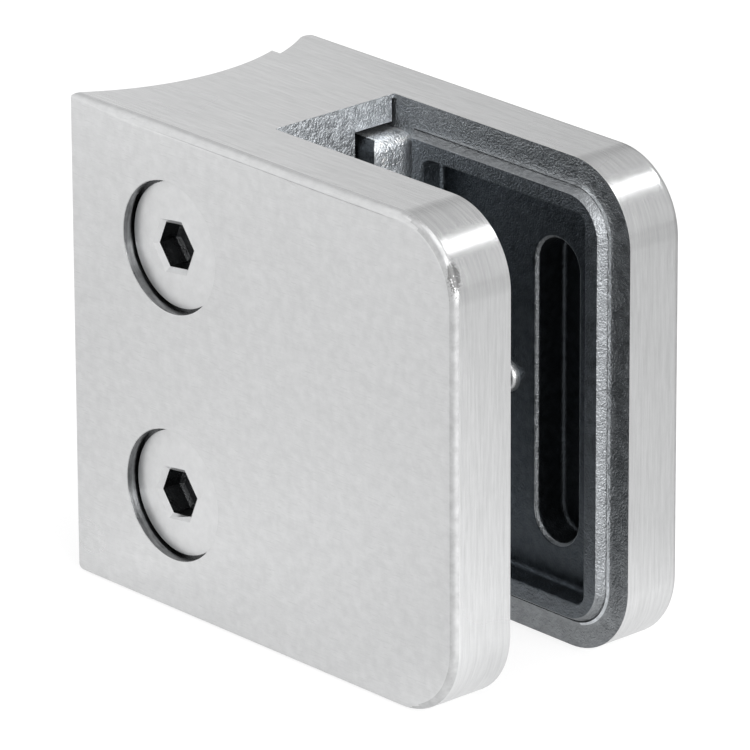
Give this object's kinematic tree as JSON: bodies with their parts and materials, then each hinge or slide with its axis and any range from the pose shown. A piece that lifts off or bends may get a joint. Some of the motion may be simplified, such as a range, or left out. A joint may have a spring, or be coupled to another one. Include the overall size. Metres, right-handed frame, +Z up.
{
  "type": "glass panel clamp",
  "caption": "Cast stainless clamp for a glass panel: a body with a saddle for a round post, a removable cover plate and countersunk socket screws that draw them together.",
  "frame": {"origin": "middle of the clamp's flat bottom, half way along its length and through its thickness", "axes": "+X from the round post towards the open end, +Y from the screw side towards the cover plate, +Z up"},
  "size_m": [0.049, 0.0264, 0.045],
  "materials": {
    "body_steel": "satin brushed outside, rough as cast inside the slot",
    "cover_steel": "satin brushed outside, rough as cast inside the slot",
    "screw_steel": "smooth, pickled"
  },
  "bodies": {
    "body": {"clamp_body": "body_steel"},
    "cover": {"cover_plate": "cover_steel"},
    "upper_screw": {"upper_screw": "screw_steel"},
    "lower_screw": {"lower_screw": "screw_steel"}
  },
  "joints": [
    {"name": "upper_screw_turn", "type": "hinge", "parent": "body", "child": "upper_screw", "pos_m": [-0.0117, -0.01225, 0.034], "axis": [0, -1, 0], "range_deg": [0, 1440]},
    {"name": "lower_screw_turn", "type": "hinge", "parent": "body", "child": "lower_screw", "pos_m": [-0.0117, -0.01225, 0.011], "axis": [0, -1, 0], "range_deg": [0, 1440]},
    {"name": "cover_slide", "type": "slide", "parent": "body", "child": "cover", "axis": [0, 1, 0], "range_m": [0, 0.004]}
  ],
  "couplings": [
    {"joint": "upper_screw_turn", "follows": "cover_slide", "rad_per_m": 6283.2},
    {"joint": "lower_screw_turn", "follows": "cover_slide", "rad_per_m": 6283.2}
  ]
}
